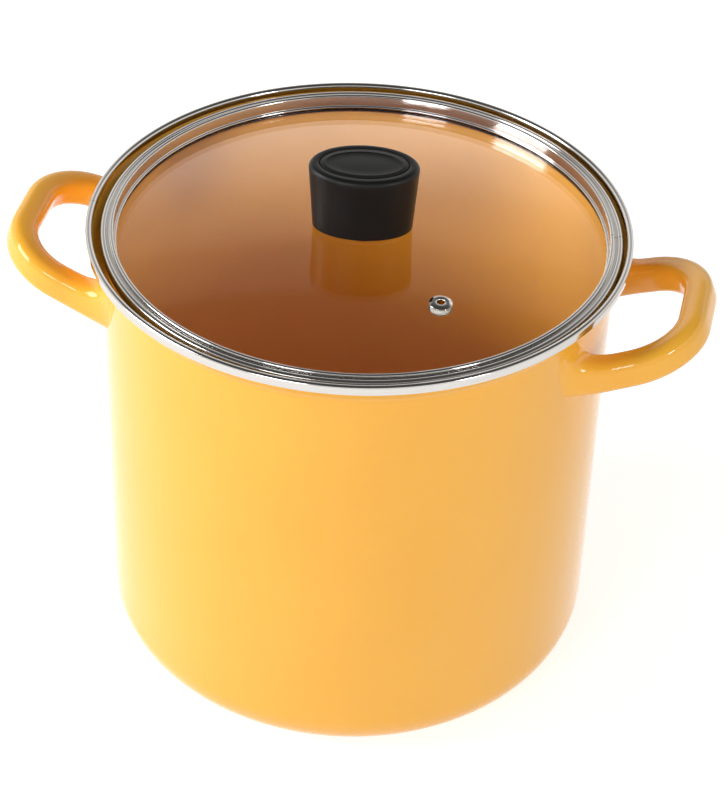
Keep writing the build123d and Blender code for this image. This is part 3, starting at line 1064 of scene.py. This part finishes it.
@dataclass
class Lid:
    """Domed glass in a formed steel band, with a steam vent."""

    materials: Finishes
    shift: float = 0.0012
    top: float = 0.2701
    bottom: float = 0.2577
    radius: float = 0.1418
    sheet: float = 0.0007
    flange_inner: float = 0.1346
    flange_slope: float = 0.0008
    groove: Point2 = (0.1394, 0.1364)
    groove_side: float = 0.0006
    groove_deep: float = 0.0010
    step_inner: float = 0.1343
    step_low: float = 0.0009
    lip_inset: float = 0.0005
    foot_radius: float = 0.1374
    taper_top: float = 0.2643
    fold_inner: float = 0.1338
    roll: float = 0.0008
    roll_slack: float = 0.00003
    roll_sides: int = 16
    band_joint: float = math.radians(9.0)
    joint_gap: float = 0.0003
    glass_radius: float = 0.1364
    glass_thick: float = 0.004
    glass_top: float = 0.2697
    glass_rise: float = 0.007
    glass_edge: float = 0.0008
    glass_steps: int = 30
    rise_radius: float = 0.1345
    knob_hole: float = 0.0042
    vent_distance: float = 0.0804
    vent_angle: float = math.radians(-48.0)
    vent_hole: float = 0.0042
    vent_seam: float = 0.0001
    drill_length: float = 0.03
    band_around: int = 320
    glass_around: int = 256
    vent_around: int = 72

    def sphere(self) -> float:
        """The radius of the glass dome."""
        return (self.rise_radius**2 + self.glass_rise**2) / (2 * self.glass_rise)

    def drop(self, distance: float, radius: float) -> float:
        """How far a dome of some radius falls at a distance from the centre."""
        return radius - math.sqrt(radius**2 - distance**2)

    def vent_place(self) -> tuple[Vector, Vector]:
        """The vent's Euler turn and its place on top of the glass."""
        height = self.glass_top - self.drop(self.vent_distance, self.sphere())
        lean = math.asin(self.vent_distance / self.sphere())
        place = Vector(
            (
                self.vent_distance * math.cos(self.vent_angle) + self.shift,
                self.vent_distance * math.sin(self.vent_angle),
                height,
            )
        )
        return Vector((0, lean, self.vent_angle)), place

    def build(self) -> None:
        """Makes the glass, the band and the vent."""
        self._glass()
        self._band()
        self._vent()

    def _glass(self) -> None:
        """The dome, with its holes for the knob's screw and the vent."""
        outer = self.sphere()
        inner = outer - self.glass_thick
        steps = self.glass_steps
        width = self.glass_radius - self.knob_hole
        spread = [self.knob_hole + width * n / steps for n in range(steps + 1)]
        low = [(r, self.glass_top - self.glass_thick - self.drop(r, inner)) for r in spread]
        high = [(r, self.glass_top - self.drop(r, outer)) for r in reversed(spread)]
        corners = low + high
        radii = [0.0] * len(corners)
        radii[steps] = radii[steps + 1] = self.glass_edge
        outline = rounded(corners, radii, steps=4)
        glass = sealed(turned("lid_glass_dome", outline, self.glass_around), True)
        settle(glass, (0, 0, 0), (self.shift, 0, 0))
        turn, place = self.vent_place()
        bore(glass, self.vent_hole, self.drill_length, place, turn)
        hand_over(glass, Body.LID, Slot.GLASS, self.materials, "lid_glass")

    def _band(self) -> None:
        """Formed sheet: fold under the glass, taper, wall, sloped flange, step and rolled edge."""
        half = self.sheet / 2
        outer = self.radius - half
        lip = self.rise_radius - self.lip_inset
        lip_z = self.glass_top - self.drop(lip, self.sphere()) + self.roll
        flange = self.top - half
        groove = flange - self.groove_deep
        bead = flange + self.flange_slope
        groove_outer, groove_inner = self.groove
        corners = [
            (self.fold_inner, self.bottom + half),
            (self.foot_radius - half, self.bottom + half),
            (outer, self.taper_top),
            (outer, flange),
            (groove_outer, flange),
            (groove_outer - self.groove_side, groove),
            (groove_inner + self.groove_side, groove),
            (groove_inner, bead),
            (self.flange_inner + half, bead),
            (self.step_inner + half, lip_z + self.step_low),
            (lip, lip_z),
        ]
        radii = [0, 0.001, 0.0015, 0.0012, 0.0006, 0.0005, 0.0005, 0.0006, 0.0006, 0.0006, 0]
        band = turned("lid_band_formed", rounded(corners, radii), self.band_around)
        apply_modifier(band, "SOLIDIFY", thickness=self.sheet, offset=0.0)
        cut(band, gap_cutter(self.band_joint, self.radius, self.top, self.joint_gap))
        settle(band, (0, 0, 0), (self.shift, 0, 0))
        roll = self.roll - self.roll_slack
        angles = [math.tau * n / self.roll_sides for n in range(self.roll_sides + 1)]
        circle = [(lip + roll * math.cos(a), lip_z + roll * math.sin(a)) for a in angles]
        edge = sealed(turned("lid_band_edge_roll", circle, self.band_around), True)
        settle(edge, (0, 0, 0), (self.shift, 0, 0))
        pick(band)
        edge.select_set(True)
        bpy.ops.object.join()
        hand_over(band, Body.LID, Slot.STAINLESS, self.materials, "lid_band")

    def _vent(self) -> None:
        """A rolled eyelet, bright, with a domed flange on each side of the glass."""
        seal, flange, crown, skirt = 0.0006, 0.0011, 0.0003, 0.0006
        passage, tube, round_edge, wide = 0.0021, 0.0032, 0.0044, 0.0062
        top = seal + flange
        bottom = -self.glass_thick - top
        corners = [
            (passage, 0.0),
            (passage, top + crown),
            (round_edge, top + crown),
            (wide, top - skirt),
            (wide, seal),
            (tube, seal),
            (tube, bottom + flange),
            (wide, bottom + flange),
            (wide, bottom + skirt),
            (round_edge, bottom - crown),
            (passage, bottom - crown),
            (passage, -self.vent_seam),
        ]
        radii = [0, 0.0009, 0.0012, 0.0003, 0.0001, 0.0002, 0.0002, 0.0001, 0.0003, 0.0012]
        radii += [0.0009, 0]
        outline = rounded(corners, radii)
        vent = sealed(turned("vent_eyelet_rolled", outline, self.vent_around), True)
        turn, place = self.vent_place()
        settle(vent, turn, place)
        hand_over(vent, Body.LID, Slot.STAINLESS, self.materials, "vent_eyelet")


@dataclass
class Knob:
    """Oval moulded knob with a plain cap let into its top."""

    materials: Finishes
    shift: float = 0.0012
    turn: float = math.radians(9.0)
    base: float = 0.2709
    tall: float = 0.038
    top_axes: Point2 = (0.030, 0.0205)
    base_axes: Point2 = (0.0273, 0.0164)
    cap_axes: Point2 = (0.024, 0.0148)
    seal_axes: Point2 = (0.0243, 0.0143)
    skirt: float = 0.26985
    pocket: float = 0.0022
    clearance: float = 0.00015
    base_round: float = 0.0006
    base_steps: int = 5
    side_steps: int = 12
    shoulder: float = 0.0030
    shoulder_steps: int = 9
    rim_flat: float = 0.0012
    rim_bevel: float = 0.0003
    rim_drop: float = 0.0008
    pocket_centre: Point2 = (0.0008, 0.0006)
    cap_middle: float = 0.4
    socket_seat: float = 0.006
    socket: float = 0.005
    socket_depth: float = 0.018
    around: int = 128

    def build(self) -> None:
        """Makes the knob's body and its cap."""
        self._body()
        self._cap()

    def _wall(self, share: float) -> Point2:
        """The half axes of the tapering side, from 0 at the glass to 1 at the top."""
        wide = self.base_axes[0] + (self.top_axes[0] - self.base_axes[0]) * share
        deep = self.base_axes[1] + (self.top_axes[1] - self.base_axes[1]) * share
        return wide, deep

    def _body(self) -> None:
        """Side, rounded shoulder, raised ring and pocket, from rings of ovals."""
        wide, deep = self.seal_axes
        rings = [(self.socket_seat, self.socket_seat, self.base)]
        rings += [(wide, deep, self.base), (wide, deep, self.skirt)]
        wide, deep = self._wall(0.0)
        for n in range(self.base_steps + 1):
            angle = math.pi / 2 * n / self.base_steps
            inset = self.base_round * (1 - math.sin(angle))
            height = self.skirt + self.base_round * (1 - math.cos(angle))
            rings.append((wide - inset, deep - inset, height))
        bend = self.shoulder / self.tall
        for n in range(1, self.side_steps):
            share = n / self.side_steps * (1 - bend)
            wide, deep = self._wall(share)
            rings.append((wide, deep, self.base + self.tall * share))
        top = self.base + self.tall
        for n in range(self.shoulder_steps + 1):
            share = n / self.shoulder_steps
            angle = math.pi / 2 * share
            wide, deep = self._wall(1 - bend * (1 - share))
            inset = self.shoulder * (1 - math.cos(angle))
            height = top - self.shoulder * (1 - math.sin(angle))
            rings.append((wide - inset, deep - inset, height))
        wide, deep = self.cap_axes
        floor = top - self.pocket
        rings.append((wide + self.rim_flat, deep + self.rim_flat, top))
        rings.append((wide + self.rim_bevel, deep + self.rim_bevel, top - self.rim_bevel))
        rings += [(wide, deep, top - self.rim_drop), (wide, deep, floor)]
        rings += [(wide / 2, deep / 2, floor), (*self.pocket_centre, floor)]
        body = sealed(stacked("knob_body_moulded", rings, self.around), False)
        bore(body, self.socket, self.socket_depth * 2, (0, 0, self.base))
        settle(body, (0, 0, self.turn), (self.shift, 0, 0))
        hand_over(body, Body.LID, Slot.PHENOLIC, self.materials, "knob_body")

    def _cap(self) -> None:
        """A plain dished disc with a thin raised line near its edge."""
        wide = self.cap_axes[0] - self.clearance
        deep = self.cap_axes[1] - self.clearance
        top = self.base + self.tall
        low = top - self.pocket
        insets = (
            (0.0, 0.0001, low),
            (0.0, 0.0, low + 0.0004),
            (0.0, 0.0, top - 0.0007),
            (0.0002, 0.0002, top - 0.0003),
            (0.0007, 0.0007, top - 0.0001),
            (0.0021, 0.0021, top - 0.0001),
            (0.0024, 0.0024, top),
            (0.0029, 0.0029, top),
            (0.0032, 0.0032, top - 0.0003),
            (0.0048, 0.0048, top - 0.0005),
            (0.0090, 0.0080, top - 0.00042),
            (0.0150, 0.0110, top - 0.00034),
        )
        rings = [(wide * self.cap_middle, deep * self.cap_middle, low)]
        rings += [(wide - a, deep - b, height) for a, b, height in insets]
        rings.append((0.001, 0.0006, top - 0.0003))
        cap = sealed(stacked("knob_cap_plain", rings, self.around), False)
        settle(cap, (0, 0, self.turn), (self.shift, 0, 0))
        hand_over(cap, Body.LID, Slot.PHENOLIC, self.materials, "knob_cap")


# ---------------------------------------------------------------- studio


@dataclass
class Studio:
    """Floor, lights, sky and camera. The camera stands in front and above, a little to the right."""

    distance: float = 1.0809
    height: float = 0.9887
    around: float = math.radians(10.3)
    pitch: float = math.radians(37.84)
    yaw: float = 0.0053
    roll: float = 0.0382
    lens: float = 107.2
    sensor: float = 36.0
    floor_size: float = 14.0
    floor_drop: float = 0.0004
    lit_point: Point3 = (0.0, 0.0, 0.15)
    sky_tint: Point3 = (1.0, 0.985, 0.96)
    sky_strength: float = 1.45
    sky_levels: tuple[Point2, ...] = (
        (0.0, 0.57),
        (0.27, 0.64),
        (0.37, 1.0),
        (0.45, 0.72),
        (0.50, 0.50),
        (0.57, 0.35),
        (0.585, 0.27),
        (0.645, 0.20),
        (0.655, 0.12),
        (0.74, 0.08),
        (1.0, 0.05),
    )

    def build(self) -> None:
        """Makes the whole studio."""
        self._floor()
        self._sky()
        self._lamps()
        self._camera()
        bpy.context.scene.view_settings.view_transform = "Standard"

    def _floor(self) -> None:
        """A plain pale floor under the pot's base."""
        bpy.ops.object.select_all(action="DESELECT")
        bpy.ops.mesh.primitive_plane_add(size=self.floor_size, location=(0, 0, -self.floor_drop))
        floor = bpy.context.object
        floor.name = "studio_floor"
        dress(floor, FloorFinish().build())

    def _sky(self) -> None:
        """White walls with the edges of two screens, and a dark ceiling."""
        world = bpy.data.worlds.new("studio_sky")
        bpy.context.scene.world = world
        world.use_nodes = True
        w = Wiring(world.node_tree)
        world.node_tree.nodes.clear()
        place = w.add("ShaderNodeTexCoord")
        parts = w.add("ShaderNodeSeparateXYZ", Vector=place.outputs["Generated"])
        ramp = w.add("ShaderNodeValToRGB")
        levels = ramp.color_ramp.elements
        levels[0].position, levels[1].position = self.sky_levels[0][0], self.sky_levels[-1][0]
        for height, _ in self.sky_levels[1:-1]:
            levels.new(height)
        for level, (_, bright) in zip(levels, self.sky_levels):
            level.color = (*(bright * share for share in self.sky_tint), 1.0)
        w.link(parts.outputs["Z"], ramp.inputs[0])
        sky = w.add("ShaderNodeBackground", Strength=self.sky_strength, Color=ramp.outputs[0])
        w.add("ShaderNodeOutputWorld", Surface=sky.outputs[0])

    def _lamp(self, name: str, place: Point3, size: Point2, watts: float) -> None:
        """Adds one soft box that points at the lit point.

        Args:
            name: the lamp's name.
            place: where it stands.
            size: its width and height.
            watts: its power.
        """
        data = bpy.data.lights.new(name, "AREA")
        data.shape = "RECTANGLE"
        data.size, data.size_y = size
        data.energy = watts
        lamp = bpy.data.objects.new(name, data)
        bpy.context.scene.collection.objects.link(lamp)
        lamp.location = place
        lamp.rotation_mode = "QUATERNION"
        away = Vector(place) - Vector(self.lit_point)
        lamp.rotation_quaternion = away.to_track_quat("Z", "Y")

    def _lamps(self) -> None:
        """A big soft box at the left and two small weak ones, in front and at the right."""
        self._lamp("soft_box_left", place=(-2.2, -0.7, 1.15), size=(1.2, 1.4), watts=42)
        self._lamp("soft_box_front", place=(-0.7, -2.1, 1.3), size=(0.8, 0.5), watts=11)
        self._lamp("soft_box_right", place=(2.0, -1.4, 1.1), size=(0.45, 0.45), watts=10)

    def _camera(self) -> None:
        """Turns a level camera down, aside and over, and stands it in front."""
        turn = self.around
        forward = Vector(
            (
                math.sin(self.yaw - turn) * math.cos(self.pitch),
                math.cos(self.yaw - turn) * math.cos(self.pitch),
                -math.sin(self.pitch),
            )
        )
        right = forward.cross(Vector((0, 0, 1))).normalized()
        up = right.cross(forward)
        leaned = right * math.cos(self.roll) + up * math.sin(self.roll)
        head = up * math.cos(self.roll) - right * math.sin(self.roll)
        data = bpy.data.cameras.new("studio_camera")
        data.sensor_width = self.sensor
        data.lens = self.lens
        camera = bpy.data.objects.new("studio_camera", data)
        bpy.context.scene.collection.objects.link(camera)
        camera.rotation_mode = "QUATERNION"
        basis = Matrix((leaned, head, -forward)).transposed()
        camera.rotation_quaternion = basis.to_quaternion()
        camera.location = (
            self.distance * math.sin(turn),
            -self.distance * math.cos(turn),
            self.height,
        )
        bpy.context.scene.camera = camera


def main() -> None:
    """Builds the canner's looks round the fixed frame."""
    logging.basicConfig(level=logging.INFO)
    EFFECTS.build()
    materials = finishes()
    wanted = {row["node"]: row["material_slot"] for row in frame["record"]["subparts"]}
    for name, node in frame["nodes"].items():
        dress(node, materials[Slot(wanted[name])])
        log.info("dressed %s", name)
    Pot(materials).build()
    LoopHandle(materials).build()
    LoopHandle(materials, name="handle_left", turn=LEFT_HANDLE_TURN).build()
    Lid(materials).build()
    Knob(materials).build()
    Studio().build()


if __name__ == "__main__":
    main()
